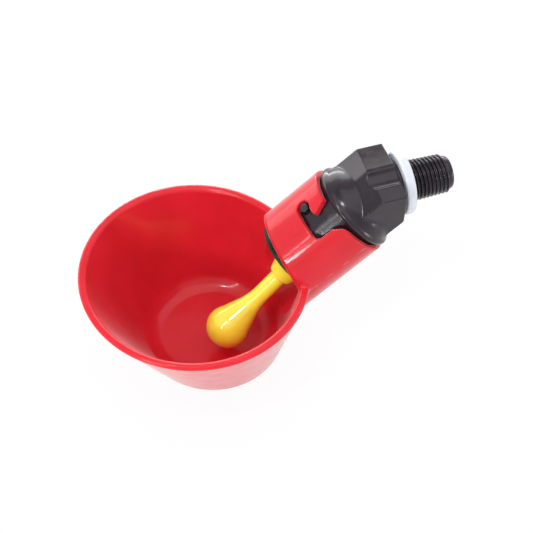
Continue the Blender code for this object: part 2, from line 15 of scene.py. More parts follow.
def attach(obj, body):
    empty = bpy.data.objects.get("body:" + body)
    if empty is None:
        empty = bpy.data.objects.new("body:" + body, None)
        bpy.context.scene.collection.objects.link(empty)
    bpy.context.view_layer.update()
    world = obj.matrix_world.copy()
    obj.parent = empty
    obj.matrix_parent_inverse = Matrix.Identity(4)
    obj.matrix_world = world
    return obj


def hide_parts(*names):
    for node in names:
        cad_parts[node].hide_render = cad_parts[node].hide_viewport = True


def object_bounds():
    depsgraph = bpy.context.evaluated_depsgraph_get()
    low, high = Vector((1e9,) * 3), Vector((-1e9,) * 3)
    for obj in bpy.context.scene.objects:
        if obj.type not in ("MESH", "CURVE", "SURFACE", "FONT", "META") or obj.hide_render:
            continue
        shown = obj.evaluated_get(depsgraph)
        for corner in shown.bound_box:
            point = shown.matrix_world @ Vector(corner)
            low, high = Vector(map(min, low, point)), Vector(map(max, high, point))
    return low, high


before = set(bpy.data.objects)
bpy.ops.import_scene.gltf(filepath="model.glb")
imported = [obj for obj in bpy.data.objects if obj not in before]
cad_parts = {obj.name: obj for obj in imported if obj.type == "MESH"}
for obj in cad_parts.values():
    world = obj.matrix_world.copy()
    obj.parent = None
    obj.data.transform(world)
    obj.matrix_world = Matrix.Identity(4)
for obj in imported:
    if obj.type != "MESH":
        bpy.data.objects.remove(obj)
CAD_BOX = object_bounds()

MM = 0.001

# The sizes down to BULB_LIFT are the CAD part's, in millimetres; _T is a place along the valve's axis
GAP = 0.3

# Elbow and inlet
VALVE_TILT = math.radians(42.0)
ELBOW_TO_FACE = 10.37
ELBOW_TO_RIM_PLANE = 31.16
WASHER_RADIUS = 10.5
WASHER_THICKNESS = 3.2
WASHER_ROUND = 0.6
THREAD_MAJOR_RADIUS = 6.9
THREAD_TAPER = 1.0 / 32.0
THREAD_DEPTH = 1.1
THREAD_LENGTH = 13.2
SPIGOT_TIP_LENGTH = 1.9
SPIGOT_TIP_RADIUS = 5.4
INLET_BORE_RADIUS = 3.4

# Grip head of the elbow
HEAD_HALF_WIDTH = 11.8
HEAD_SHOULDER = 7.2
HEAD_RIDGE = 9.5
HEAD_VALLEY = 8.0
HEAD_VALLEY_SIDE = 5.8
HEAD_BACK_SHOULDER = 7.6
HEAD_UNDERSIDE = 7.7
HEAD_START_T = 21.5
FLUTE_WIDTH = 6.6
FLUTE_DEPTH = 1.2
FLUTE_START = 1.2
BOSS_RADIUS = 8.1
BOSS_STAND = 1.1

# Bowl of the cup
RIM_RADIUS = 38.0
RIM_WIDTH = 2.4
LIP_HEIGHT = 2.2
LIP_STEP = 0.8
BOWL_DEPTH = 39.0
BOWL_WALL = 2.0
BASE_RADIUS = 23.3
BASE_FORWARD = 7.0
BASE_ROUND = 3.0
FLOOR_THICKNESS = 1.8
FLOOR_ROUND = 4.5
FOOT_WIDTH = 3.0
FOOT_RECESS = 0.6
AXIS_OUTSIDE_RIM = 0.77

# Barrel of the cup, which takes the valve's sleeve
BARREL_STEP = 0.6
BARREL_WALL = 1.7
BARREL_TOP_T = 19.6
BARREL_END_T = -26.0
BORE_END_T = -24.2
MOUTH_TILT = math.radians(26.0)
MOUTH_T = -3.4

# Bayonet: pins on the sleeve, J-shaped slots in the barrel
PIN_RADIUS = 1.6
PIN_T = 12.1
PIN_SINK = 0.4
SLOT_LEG_WIDTH = 4.4
SLOT_POCKET_RADIUS = 2.35
SLOT_TONGUE_TIP = 4.9
SLOT_TONGUE_ROOT = 2.5
SLOT_FAR_SIDE = 10.9
SLOT_FLARE = 1.6
SLOT_CORNER = 2.4
SLOT_TIP_ROUND = 0.9

# Sleeve, flange and dome of the valve body
FLANGE_OVERLAP = 1.27
FLANGE_STAND = 1.0
FLANGE_THICKNESS = 2.3
FLANGE_ROUND = 1.1
DOME_INSET = 0.57
DOME_SHOULDER_RISE = 1.5
DOME_TOP_RADIUS = 8.5
DOME_TOP_RISE = 6.8
SLEEVE_WALL = 2.5
SLEEVE_END_T = -5.0

# Valve chamber and the pieces in it
SEAT_TOP_T = 11.6
SEAT_THICKNESS = 2.6
SEAT_HOLE_RADIUS = 3.6
SEAT_LAND = 2.9
SEAT_SHELF = 2.3
RETAINER_THROAT_STEP = 0.9
RETAINER_LIP = 2.5
RETAINER_RIM_THICKNESS = 1.2
RETAINER_RIM_INSET = 0.4
STRAINER_RIM_RADIUS = 4.5
STRAINER_RIM_THICKNESS = 0.8

# Peck trigger: lengths run down its stem from the pivot
PIVOT_RISE = 1.1
TRIGGER_LEAN = math.radians(8.9)
TRIGGER_RISE = math.radians(2.1)
HEAD_DISC_OVERLAP = 1.1
HEAD_DISC_CLEARANCE = 1.1
HEAD_DISC_THICKNESS = 1.6
PEG_RADIUS = 2.2
PEG_LENGTH = 2.2
NECK_RADIUS = 1.8
NECK_LENGTH = 4.5
STEM_RADIUS = 2.95
STEM_START = 9.0
COLLAR_TOP = 19.8
COLLAR_WIDE_AT = 21.8
COLLAR_BOTTOM = 26.2
COLLAR_RADIUS = 5.6
COLLAR_LIP_RADIUS = 4.0
CONE_LENGTH = 13.2
BULB_RADIUS = 7.3
BULB_LIFT = 5.3

# Form that only this script adds, in millimetres or as shares
THREAD_PITCH = 1.337
THREAD_FLAT_SHARE = 0.18
THREAD_GROOVE_SHARE = 0.9
THREAD_RUNOUT_SLOPE = 0.3
TIP_NECK_SHARE = 0.62
TIP_CHAMFER_LENGTH = 1.3
TIP_CHAMFER_INSET = 0.3

# Roundings of the edges and of the inner corners, in millimetres
LIP_EDGE = 1.0
LIP_FILLET = 0.3
FOOT_EDGE = 0.3
STEP_EDGE = 0.2
STEP_FILLET = 0.15
BARREL_EDGE = 0.5
MOUTH_EDGE = 1.3
SOCKET_FILLET = 1.2
BORE_EDGE = 0.5
SLOT_EDGE = 0.35
HEAD_EDGE = 0.35
HEAD_VALLEY_ROUND = 2.0
HEAD_FILLET = 0.7
FLUTE_EDGE = 0.3
FLANGE_FILLET = 0.2
DOME_ROUND = 2.5
DOME_FILLET = 0.4
PIN_EDGE = 0.3
PIN_FILLET = 0.2
BOSS_FILLET = 0.3
TIP_EDGE = 0.6
TIP_CHAMFER_EDGE = 0.5
TIP_FILLET = 0.15
PASSAGE_EDGE = 0.2
HEAD_DISC_EDGE = 0.3
PEG_EDGE = 0.4
PEG_FILLET = 0.3
STEM_FILLET = 0.5
COLLAR_WIDE_EDGE = 0.4
COLLAR_END_EDGE = 0.5
COLLAR_FILLET = 0.35
CONE_FILLET = 1.0
BULB_FILLET = 0.05
WASHER_BORE_EDGE = 0.3
RETAINER_EDGE = 0.35
RETAINER_FILLET = 0.3

# How far forms that join run into each other, in millimetres
MOUTH_SINK = 1.0
PEG_SINK = 1.0
STEM_SINK = 1.0
COLLAR_SINK = 0.2
CONE_SINK = 6.0

# Measured distances are shrunk by these where the surface is steep, to stay below the true ones
THREAD_SHRINK = 0.55
STEM_SHRINK = 0.96

# The slots' outline is only measured near them, between two places along the axis and beyond a
# height above or below it; all other places count as far from the slots
SLOT_NEAR_T = (4.0, 24.0)
SLOT_NEAR_UP = 3.0
FAR = 9.0

# Meshing grids: (start, end, step) stretches along x, along y and along z, in millimetres
CUP_GRID = (
    ((-111.5, -54.0, 0.77), (-54.0, -7.5, 0.49)),
    ((-38.6, -17.0, 0.77), (-17.0, 17.0, 0.49), (17.0, 38.6, 0.77)),
    ((-60.6, -34.0, 0.77), (-34.0, 5.0, 0.49)),
)
VALVE_GRID = (
    ((-47.5, -28.0, 0.6), (-28.0, 0.0, 0.33), (0.0, 15.5, 0.16)),
    ((-17.0, 17.0, 0.33),),
    ((-35.5, -16.0, 0.6), (-16.0, 13.0, 0.33)),
)
TRIGGER_GRID = (((-75.0, -19.0, 0.28),), ((-18.0, 7.0, 0.28),), ((-54.0, -5.0, 0.28),))
WASHER_GRID = (((-3.6, 0.4, 0.25),), ((-11.0, 11.0, 0.3),), ((-11.0, 11.0, 0.3),))
RETAINER_GRID = (((-50.0, -18.0, 0.4),), ((-14.0, 14.0, 0.4),), ((-36.0, -4.0, 0.4),))

# Meshing: grid cells to a block and places to a batch, a block's margin as a share and in
# millimetres, and how points are drawn onto the surface
BLOCK = 6
BATCH = 400000
BLOCK_MARGIN_SHARE = 1.25
BLOCK_MARGIN = 0.1
DRAW_ROUNDS = 3
LONGEST_DRAW = 0.4
LEAST_SLOPE_SQUARED = 0.2
SLOPE_STEP = 0.02
TINY = 1e-9

# The photograph's camera: its place in metres, its lens and sensor in millimetres
CAMERA_PLACE = Vector((-0.153597, -0.291610, 0.377804))
CAMERA_AZIMUTH = math.radians(20.072)
CAMERA_ELEVATION = math.radians(52.549)
CAMERA_ROLL = math.radians(2.442)
CAMERA_FOCAL_LENGTH = 103.2
CAMERA_SENSOR = 36.0

# Studio, in metres: the part hangs by its thread, and the floor lies just below the lowest place
# that the turned cup reaches. A softbox has an azimuth and elevation in degrees, a distance, a
# width, a height and a radiance.
FLOOR_SIZE = 6.0
FLOOR_DROP = 0.009
FLOOR_GLOW = 0.92
WORLD_STRENGTH = 0.7
SOFTBOXES = {
    "key": (-150.0, 47.0, 1.0, 0.045, 0.96, 16.0),
    "high": (-139.0, 70.0, 1.0, 0.09, 0.09, 60.0),
    "top": (-10.0, 68.0, 1.0, 1.0, 1.0, 0.7),
    "back": (90.0, 14.0, 1.0, 2.0, 0.65, 2.0),
    "strip": (78.0, 3.0, 1.0, 0.7, 0.08, 8.0),
    "left": (168.0, 20.0, 1.0, 0.9, 0.35, 0.3),
    "right": (-20.0, 5.0, 1.0, 0.5, 0.2, 4.0),
    "glint": (-140.0, 18.0, 0.25, 0.06, 0.014, 45.0),
}

# Places that follow from the CAD part's sizes
AXIS = np.array([math.cos(VALVE_TILT), 0.0, math.sin(VALVE_TILT)])
UP = np.array([-math.sin(VALVE_TILT), 0.0, math.cos(VALVE_TILT)])
ELBOW = np.array([-ELBOW_TO_FACE, 0.0, 0.0])
AXIS_AT_RIM = ELBOW - ELBOW_TO_RIM_PLANE * AXIS
RIM_CENTRE = AXIS_AT_RIM - np.array([RIM_RADIUS + AXIS_OUTSIDE_RIM, 0.0, 0.0])
FLOOR_Z = FOOT_RECESS + FLOOR_THICKNESS - BOWL_DEPTH
BOSS_FACE_X = -WASHER_THICKNESS - GAP
HEAD_FACE_X = BOSS_FACE_X - BOSS_STAND
HEAD_DISC_RADIUS = SEAT_HOLE_RADIUS + HEAD_DISC_OVERLAP
SEAT_RADIUS = HEAD_DISC_RADIUS + HEAD_DISC_CLEARANCE + SEAT_LAND
SLEEVE_BORE = SEAT_RADIUS + GAP + SEAT_SHELF
SLEEVE_RADIUS = SLEEVE_BORE + SLEEVE_WALL
BARREL_BORE = SLEEVE_RADIUS + GAP
BARREL_RADIUS = BARREL_BORE + BARREL_WALL
FLANGE_RADIUS = BARREL_BORE + FLANGE_OVERLAP
FLANGE_BOTTOM_T = BARREL_TOP_T + FLANGE_STAND
FLANGE_TOP_T = FLANGE_BOTTOM_T + FLANGE_THICKNESS
SEAT_BOTTOM_T = SEAT_TOP_T - SEAT_THICKNESS
RETAINER_TOP_T = SEAT_BOTTOM_T - GAP
RETAINER_BOTTOM_T = SLEEVE_END_T - GAP - RETAINER_RIM_THICKNESS
SPIGOT_END_X = THREAD_LENGTH + SPIGOT_TIP_LENGTH
PIVOT = AXIS_AT_RIM + (SEAT_TOP_T + PIVOT_RISE) * AXIS
SLANTED = Matrix.Rotation(math.pi / 2 - VALVE_TILT, 3, "Y")
TRIGGER_TIP = Matrix.Rotation(-TRIGGER_LEAN, 3, "X") @ Matrix.Rotation(TRIGGER_RISE, 3, "Y")
TRIGGER_TURN = np.array(SLANTED @ TRIGGER_TIP)
BULB_Z = RIM_CENTRE[2] + FLOOR_Z + BULB_LIFT + BULB_RADIUS
BULB_AT = (PIVOT[2] - BULB_Z) / TRIGGER_TURN[2, 2]


# Distances

def rounded_max(a, b, radius):
    """The distance to what both solids share, with the edge between them rounded."""
    a, b = a + radius, b + radius
    outside = np.hypot(np.maximum(a, 0.0), np.maximum(b, 0.0))
    return np.minimum(np.maximum(a, b), 0.0) + outside - radius


def rounded_min(a, b, radius):
    """The distance to both solids together, with a fillet between them."""
    return -rounded_max(-a, -b, radius)


def between(value, low, high):
    """The distance to the slab where the value lies between two limits."""
    return np.abs(value - (low + high) / 2) - (high - low) / 2


def beyond_line(r, h, start, end):
    """Signed distance from a line in a profile's plane, positive outwards where the line runs down."""
    length = math.hypot(end[0] - start[0], end[1] - start[1])
    along = ((end[0] - start[0]) / length, (end[1] - start[1]) / length)
    return along[0] * (h - start[1]) - along[1] * (r - start[0])


def outline_distance(x, y, points):
    """Signed distance from a closed outline, negative inside."""
    best = np.full(x.shape, np.inf)
    inside = np.zeros(x.shape, bool)
    for (ax, ay), (bx, by) in zip(points, points[1:] + points[:1]):
        dx, dy = bx - ax, by - ay
        share = np.clip(((x - ax) * dx + (y - ay) * dy) / (dx * dx + dy * dy), 0.0, 1.0)
        best = np.minimum(best, np.hypot(x - ax - share * dx, y - ay - share * dy))
        if dy != 0.0:
            crosses = (ay > y) != (by > y)
            inside ^= crosses & (x < dx * (y - ay) / dy + ax)
    return np.where(inside, -best, best)


def arc(centre, radius, start, end, steps):
    """Points of an arc; the angles are in degrees."""
    angles = [math.radians(start + (end - start) * i / steps) for i in range(steps + 1)]
    return [(centre[0] + radius * math.cos(a), centre[1] + radius * math.sin(a)) for a in angles]


def rounded_corner(before, corner, after, radius, steps=8):
    """The corner of an outline as an arc that meets both of its sides."""
    back = (Vector(before) - Vector(corner)).normalized()
    ahead = (Vector(after) - Vector(corner)).normalized()
    half = back.angle(ahead) / 2
    centre = Vector(corner) + (back + ahead).normalized() * (radius / math.sin(half))
    first = Vector(corner) + back * (radius / math.tan(half)) - centre
    turn = first.angle_signed(Vector(corner) + ahead * (radius / math.tan(half)) - centre)
    turned = [Matrix.Rotation(-turn * i / steps, 2) @ first for i in range(steps + 1)]
    return [tuple(centre + point) for point in turned]


def valve_frame(points):
    """Places along the valve's axis from the rim's plane, and above and beside the axis."""
    away = points - AXIS_AT_RIM
    return away @ AXIS, away @ UP, points[:, 1]


# Cup

def slot_outline():
    """The bayonet slot as (t, distance sideways from the pin) points, as in the CAD part."""
    floor = PIN_T - SLOT_LEG_WIDTH / 2 - GAP
    ceiling = floor + SLOT_LEG_WIDTH
    pocket_t = floor + SLOT_POCKET_RADIUS
    ceiling_angle = math.degrees(math.acos((ceiling - pocket_t) / SLOT_POCKET_RADIUS))
    beyond = BARREL_TOP_T + SLOT_CORNER
    slope = (SLOT_TONGUE_TIP - SLOT_TONGUE_ROOT) / (BARREL_TOP_T - ceiling)
    tip = (ceiling, SLOT_TONGUE_TIP)
    root = (beyond, SLOT_TONGUE_ROOT - slope * SLOT_CORNER)
    corner = (floor, SLOT_FAR_SIDE)
    points = [(floor, 0.0)]
    points += rounded_corner((floor, 0.0), corner, (beyond, SLOT_FAR_SIDE), SLOT_CORNER)
    points += [
        (BARREL_TOP_T - 2.0 * SLOT_FLARE, SLOT_FAR_SIDE),
        (BARREL_TOP_T, SLOT_FAR_SIDE + SLOT_FLARE),
        (beyond, SLOT_FAR_SIDE + SLOT_FLARE),
        root,
    ]
    points += rounded_corner(root, tip, (ceiling, 0.0), SLOT_TIP_ROUND)
    points += arc((pocket_t, 0.0), SLOT_POCKET_RADIUS, ceiling_angle, -180.0, steps=24)[:-1]
    return points


SLOT_OUTLINE = slot_outline()


def bowl_frame(points):
    """How far out places are from the bowl's leaning middle line, and how high above its rim."""
    x, y, z = (points - RIM_CENTRE).T
    return np.hypot(x + z * BASE_FORWARD / BOWL_DEPTH, y), z


def beyond_inner_wall(out, z):
    """How far places are outside the straight inner wall of the bowl."""
    return beyond_line(out, z, (RIM_RADIUS - RIM_WIDTH, 0.0), (BASE_RADIUS - BOWL_WALL, FLOOR_Z))


def bowl_distance(points):
    """The bowl with its lip, and with the recess inside its foot ring."""
    out, z = bowl_frame(points)
    under_lip = (RIM_RADIUS - LIP_STEP, -LIP_HEIGHT - LIP_STEP)
    wall = beyond_line(out, z, under_lip, (BASE_RADIUS, -BOWL_DEPTH))
    outer = np.maximum(rounded_max(wall, -BOWL_DEPTH - z, BASE_ROUND), z + LIP_HEIGHT / 2)
    lip = rounded_max(out - RIM_RADIUS, between(z, -LIP_HEIGHT, 0.0), LIP_EDGE)
    outer = rounded_min(outer, lip, LIP_FILLET)
    cavity = rounded_max(beyond_inner_wall(out, z), FLOOR_Z - z, FLOOR_ROUND)
    shell = rounded_max(outer, -cavity, LIP_EDGE)
    foot_radius = BASE_RADIUS - BASE_ROUND - FOOT_WIDTH
    recess = np.maximum(out - foot_radius, z + BOWL_DEPTH - FOOT_RECESS)
    return rounded_max(shell, -recess, FOOT_EDGE)


def socket_distance(points):
    """The slanting tube before it is bored, cut back where it opens over the bowl."""
    t, up, side = valve_frame(points)
    around = np.hypot(up, side)
    proud = rounded_max(around - BARREL_RADIUS - BARREL_STEP, -up, STEP_EDGE)
    tube = rounded_min(around - BARREL_RADIUS, proud, STEP_FILLET)
    tube = np.maximum(rounded_max(tube, t - BARREL_TOP_T, BARREL_EDGE), BARREL_END_T - t)
    out, z = bowl_frame(points)
    space = np.where(z < 0.0, beyond_inner_wall(out, z), out - RIM_RADIUS + RIM_WIDTH)
    space = np.maximum(space - RIM_WIDTH / 2, FLOOR_Z - MOUTH_SINK - z)
    normal = np.array([math.cos(MOUTH_TILT), 0.0, math.sin(MOUTH_TILT)])
    mouth_top = AXIS_AT_RIM + MOUTH_T * AXIS + (BARREL_RADIUS + BARREL_STEP) * UP
    space = np.maximum(space, (points - mouth_top) @ normal)
    return rounded_max(tube, -space, MOUTH_EDGE)


def slots_distance(points):
    """The bayonet slots in the barrel's top and underside, cut in to a third of its radius."""
    t, up, side = valve_frame(points)
    near = (t > SLOT_NEAR_T[0]) & (t < SLOT_NEAR_T[1]) & (np.abs(up) > SLOT_NEAR_UP)
    slots = np.full(t.shape, FAR)
    from_pin = -side[near] * np.sign(up[near])
    slots[near] = outline_distance(t[near], from_pin, SLOT_OUTLINE)
    core = BARREL_RADIUS / 3
    return np.maximum(slots, core - np.abs(up))


def cup_distance(points):
    """The red cup: bowl and socket, with the barrel's bore and the slots cut out."""
    t, up, side = valve_frame(points)
    cup = rounded_min(bowl_distance(points), socket_distance(points), SOCKET_FILLET)
    bore = np.maximum(np.hypot(up, side) - BARREL_BORE, BORE_END_T - t)
    cup = rounded_max(cup, -bore, BORE_EDGE)
    return rounded_max(cup, -slots_distance(points), SLOT_EDGE)


# Valve body

def thread_radius(x, y, z):
    """How far the thread's surface is from its axis: a smooth ridge on each turn of its helix."""
    crest = THREAD_MAJOR_RADIUS - THREAD_TAPER * x
    phase = (x / THREAD_PITCH - np.arctan2(z, y) / (2 * math.pi)) % 1.0
    ridge = np.abs(2.0 * phase - 1.0)
    ridge = np.clip((ridge - THREAD_FLAT_SHARE / 2) / (1.0 - THREAD_FLAT_SHARE), 0.0, 1.0)
    ridge = ridge * ridge * (3.0 - 2.0 * ridge)
    return crest - THREAD_DEPTH * THREAD_GROOVE_SHARE * (1.0 - ridge)


def spigot_distance(points):
    """The spigot before it is bored: its thread, and its tip with a chamfer."""
    x, y, z = points.T
    rho = np.hypot(y, z)
    end_radius = THREAD_MAJOR_RADIUS - THREAD_TAPER * THREAD_LENGTH
    neck_radius = end_radius - THREAD_DEPTH * TIP_NECK_SHARE
    thread = (rho - thread_radius(x, y, z)) * THREAD_SHRINK
    thread = np.maximum(thread, x - THREAD_LENGTH - (rho - end_radius) * THREAD_RUNOUT_SLOPE)
    thread = np.where(x < 0.0, rho - THREAD_MAJOR_RADIUS + THREAD_DEPTH / 2, thread)
    tip = rounded_max(rho - neck_radius, x - SPIGOT_END_X, TIP_EDGE)
    narrow = (SPIGOT_TIP_RADIUS - TIP_CHAMFER_INSET, SPIGOT_END_X)
    wide = (neck_radius, SPIGOT_END_X - TIP_CHAMFER_LENGTH)
    tip = rounded_max(tip, beyond_line(rho, x, narrow, wide), TIP_CHAMFER_EDGE)
    return np.maximum(rounded_min(thread, tip, TIP_FILLET), ELBOW[0] / 2 - x)


def flute_distance(points):
    """The round-ended bar that cuts the groove in front of the roof's ridge."""
    radius = (FLUTE_WIDTH**2 / 4 + FLUTE_DEPTH**2) / (2 * FLUTE_DEPTH)
    fall = (HEAD_RIDGE - HEAD_SHOULDER) / HEAD_HALF_WIDTH
    roof = Vector((1.0, -fall)).normalized()
    middle = Vector((0.0, HEAD_RIDGE)) + roof * (FLUTE_WIDTH / 2 + GAP)
    centre = middle + Vector((-roof.y, roof.x)) * (radius - FLUTE_DEPTH)
    from_mitre = FLUTE_START - math.tan(VALVE_TILT / 2) * centre.y
    away = points - ELBOW - np.array([from_mitre, -centre.x, centre.y])
    behind = np.minimum(away[:, 0], 0.0)
    return np.sqrt(behind**2 + away[:, 1] ** 2 + away[:, 2] ** 2) - radius


def roof_distance(side, rise):
    """The head's roof: down to the front shoulder, and over a valley to the back one."""
    ridge = (0.0, HEAD_RIDGE)
    valley = (HEAD_VALLEY_SIDE, HEAD_VALLEY)
    front = beyond_line(side, rise, (-HEAD_HALF_WIDTH, HEAD_SHOULDER), ridge)
    near = beyond_line(side, rise, ridge, valley)
    far = beyond_line(side, rise, valley, (HEAD_HALF_WIDTH, HEAD_BACK_SHOULDER))
    return rounded_max(front, rounded_min(near, far, HEAD_VALLEY_ROUND), HEAD_EDGE)


def head_distance(points):
    """The grip head: one roof along the valve and one along the inlet, which meet in a mitre."""
    t, up, side = valve_frame(points)
    x, _, z = points.T
    head = rounded_max(roof_distance(side, up), roof_distance(side, z), HEAD_EDGE)
    for face in (np.abs(side) - HEAD_HALF_WIDTH, -HEAD_UNDERSIDE - up, x - HEAD_FACE_X):
        head = rounded_max(head, face, HEAD_EDGE)
    head = np.maximum(head, HEAD_START_T - t)
    return rounded_max(head, -flute_distance(points), FLUTE_EDGE)


def sleeve_distance(around, t):
    """The sleeve, its flange and the dome over them."""
    sleeve = np.maximum(around - SLEEVE_RADIUS, np.maximum(SLEEVE_END_T - t, t - FLANGE_TOP_T))
    slab = between(t, FLANGE_BOTTOM_T, FLANGE_TOP_T)
    flange = rounded_max(around - FLANGE_RADIUS, slab, FLANGE_ROUND)
    body = rounded_min(sleeve, flange, FLANGE_FILLET)
    top = (DOME_TOP_RADIUS, FLANGE_TOP_T + DOME_TOP_RISE)
    shoulder = (FLANGE_RADIUS - DOME_INSET, FLANGE_TOP_T + DOME_SHOULDER_RISE)
    foot = (FLANGE_RADIUS - DOME_INSET, FLANGE_BOTTOM_T)
    slope = beyond_line(around, t, top, shoulder)
    dome = rounded_max(slope, beyond_line(around, t, shoulder, foot), DOME_ROUND)
    start = (FLANGE_BOTTOM_T + FLANGE_TOP_T) / 2
    dome = np.maximum(dome, np.maximum(t - top[1], start - t))
    return rounded_min(body, dome, DOME_FILLET)


def pins_distance(t, up, side):
    """The two bayonet pins, which stand out of the sleeve's top and underside."""
    reach = BARREL_RADIUS + BARREL_STEP - PIN_SINK
    pins = rounded_max(np.hypot(t - PIN_T, side) - PIN_RADIUS, np.abs(up) - reach, PIN_EDGE)
    return np.maximum(pins, SLEEVE_BORE + GAP - np.abs(up))


def valve_distance(points):
    """The black valve body, open below the seat and bored for the water's way in."""
    t, up, side = valve_frame(points)
    x, y, z = points.T
    around, rho = np.hypot(up, side), np.hypot(y, z)
    body = rounded_min(sleeve_distance(around, t), head_distance(points), HEAD_FILLET)
    body = rounded_min(body, pins_distance(t, up, side), PIN_FILLET)
    boss = np.maximum(rho - BOSS_RADIUS, np.maximum(x - BOSS_FACE_X, ELBOW[0] - x))
    body = rounded_min(body, boss, BOSS_FILLET)
    body = np.minimum(body, spigot_distance(points))
    chamber = np.maximum(around - SLEEVE_BORE, t - SEAT_BOTTOM_T)
    body = rounded_max(body, -chamber, PASSAGE_EDGE)
    pocket_start = SPIGOT_END_X - STRAINER_RIM_THICKNESS - GAP
    pocket = np.maximum(rho - STRAINER_RIM_RADIUS - GAP, pocket_start - x)
    inlet = np.maximum(np.minimum(rho - INLET_BORE_RADIUS, pocket), ELBOW[0] - x)
    return rounded_max(body, -inlet, PASSAGE_EDGE)


# Trigger, washer and seat retainer

def trigger_head_distance(r, down):
    """The disc that closes the valve's seat, and the peg on it that holds the spring."""
    disc = between(down, -HEAD_DISC_THICKNESS, 0.0)
    disc = rounded_max(r - HEAD_DISC_RADIUS, disc, HEAD_DISC_EDGE)
    peg = between(down, -HEAD_DISC_THICKNESS - PEG_LENGTH, PEG_SINK - HEAD_DISC_THICKNESS)
    peg = rounded_max(r - PEG_RADIUS, peg, PEG_EDGE)
    return rounded_min(disc, peg, PEG_FILLET)


def stem_distance(r, down):
    """The neck and the stem that it widens into."""
    widened = np.clip((down - NECK_LENGTH) / (STEM_START - NECK_LENGTH), 0.0, 1.0)
    radius = NECK_RADIUS + (STEM_RADIUS - NECK_RADIUS) * widened
    return np.maximum((r - radius) * STEM_SHRINK, np.maximum(-STEM_SINK - down, down - BULB_AT))


def collar_distance(r, down):
    """The collar: widest near its top, and narrower to its lip."""
    top = (STEM_RADIUS - COLLAR_SINK, -COLLAR_TOP)
    wide = (COLLAR_RADIUS, -COLLAR_WIDE_AT)
    lip = (COLLAR_LIP_RADIUS, -COLLAR_BOTTOM)
    upper = beyond_line(r, -down, top, wide)
    collar = rounded_max(upper, beyond_line(r, -down, wide, lip), COLLAR_WIDE_EDGE)
    return rounded_max(collar, down - COLLAR_BOTTOM, COLLAR_END_EDGE)


def cone_distance(r, down):
    """The cone that leaves the stem and touches the bulb all round."""
    angle = math.asin((BULB_RADIUS - STEM_RADIUS) / CONE_LENGTH)
    start = BULB_AT - CONE_LENGTH
    touch = BULB_AT - BULB_RADIUS * math.sin(angle)
    cone = (r - STEM_RADIUS) * math.cos(angle) - (down - start) * math.sin(angle)
    return np.maximum(cone, np.maximum(start - CONE_SINK - down, down - touch))


def trigger_distance(points):
    """The yellow trigger, turned about one line from its head disc to its bulb."""
    local = (points - PIVOT) @ TRIGGER_TURN
    r, down = np.hypot(local[:, 0], local[:, 1]), -local[:, 2]
    body = rounded_min(trigger_head_distance(r, down), stem_distance(r, down), STEM_FILLET)
    body = rounded_min(body, collar_distance(r, down), COLLAR_FILLET)
    body = rounded_min(body, cone_distance(r, down), CONE_FILLET)
    return rounded_min(body, np.hypot(r, down - BULB_AT) - BULB_RADIUS, BULB_FILLET)


def washer_distance(points):
    """The flat washer behind the thread."""
    x, y, z = points.T
    rho = np.hypot(y, z)
    slab = between(x, -WASHER_THICKNESS, 0.0)
    washer = rounded_max(rho - WASHER_RADIUS, slab, WASHER_ROUND)
    return rounded_max(washer, THREAD_MAJOR_RADIUS + GAP - rho, WASHER_BORE_EDGE)


def retainer_distance(points):
    """The plug in the sleeve's end, with a rim below it and a flaring throat through it."""
    t, up, side = valve_frame(points)
    around = np.hypot(up, side)
    outer = SLEEVE_BORE - GAP
    plug = np.maximum(around - outer, t - RETAINER_TOP_T)
    rim = np.maximum(around - SLEEVE_RADIUS + RETAINER_RIM_INSET, t - SLEEVE_END_T + GAP)
    plug = rounded_min(plug, rim, RETAINER_FILLET)
    plug = rounded_max(plug, RETAINER_BOTTOM_T - t, RETAINER_EDGE)
    throat = (SEAT_HOLE_RADIUS + RETAINER_THROAT_STEP, RETAINER_TOP_T)
    mouth = (outer - RETAINER_LIP, RETAINER_BOTTOM_T)
    return rounded_max(plug, beyond_line(around, t, mouth, throat), RETAINER_EDGE)


# Meshing

def spaced(stretches):
    """Grid places along one axis, from (start, end, step) stretches that follow on."""
    places = []
    for start, end, step in stretches:
        count = max(1, round((end - start) / step))
        places.append(np.linspace(start, end, count, endpoint=False))
    places.append(np.array([stretches[-1][1]]))
    return np.concatenate(places)


def in_batches(distance, axes, places):
    """Distances at these places of the grid, found a batch at a time to save memory."""
    found = np.empty(len(places))
    for first in range(0, len(places), BATCH):
        batch = places[first : first + BATCH]
        points = np.stack([axis[batch[:, k]] for k, axis in enumerate(axes)], 1)
        found[first : first + BATCH] = distance(points)
    return found


def sample(distance, axes):
    """Distances on the grid, found exactly only in the blocks near the surface."""
    starts = [np.arange(0, len(axis) - 1, BLOCK) for axis in axes]
    lows = [axis[start] for axis, start in zip(axes, starts)]
    highs = [axis[np.minimum(start + BLOCK, len(axis) - 1)] for axis, start in zip(axes, starts)]
    middles = [(low + high) / 2 for low, high in zip(lows, highs)]
    halves = [(high - low) / 2 for low, high in zip(lows, highs)]
    centres = np.stack(np.meshgrid(*middles, indexing="ij"), -1)
    reach = np.linalg.norm(np.stack(np.meshgrid(*halves, indexing="ij"), -1), axis=-1)
    rough = distance(centres.reshape(-1, 3)).reshape(centres.shape[:3])
    near = np.abs(rough) < reach * BLOCK_MARGIN_SHARE + BLOCK_MARGIN
    after, before = [], []
    for axis, start in zip(axes, starts):
        places = np.arange(len(axis))
        after.append(np.minimum(places // BLOCK, len(start) - 1))
        before.append(np.maximum(places - 1, 0) // BLOCK)
    values = np.where(rough[np.ix_(*after)] < 0.0, -1.0, 1.0)
    wanted = np.zeros(values.shape, bool)
    for i in (after[0], before[0]):
        for j in (after[1], before[1]):
            for k in (after[2], before[2]):
                wanted |= near[np.ix_(i, j, k)]
    values[wanted] = in_batches(distance, axes, np.argwhere(wanted))
    return values


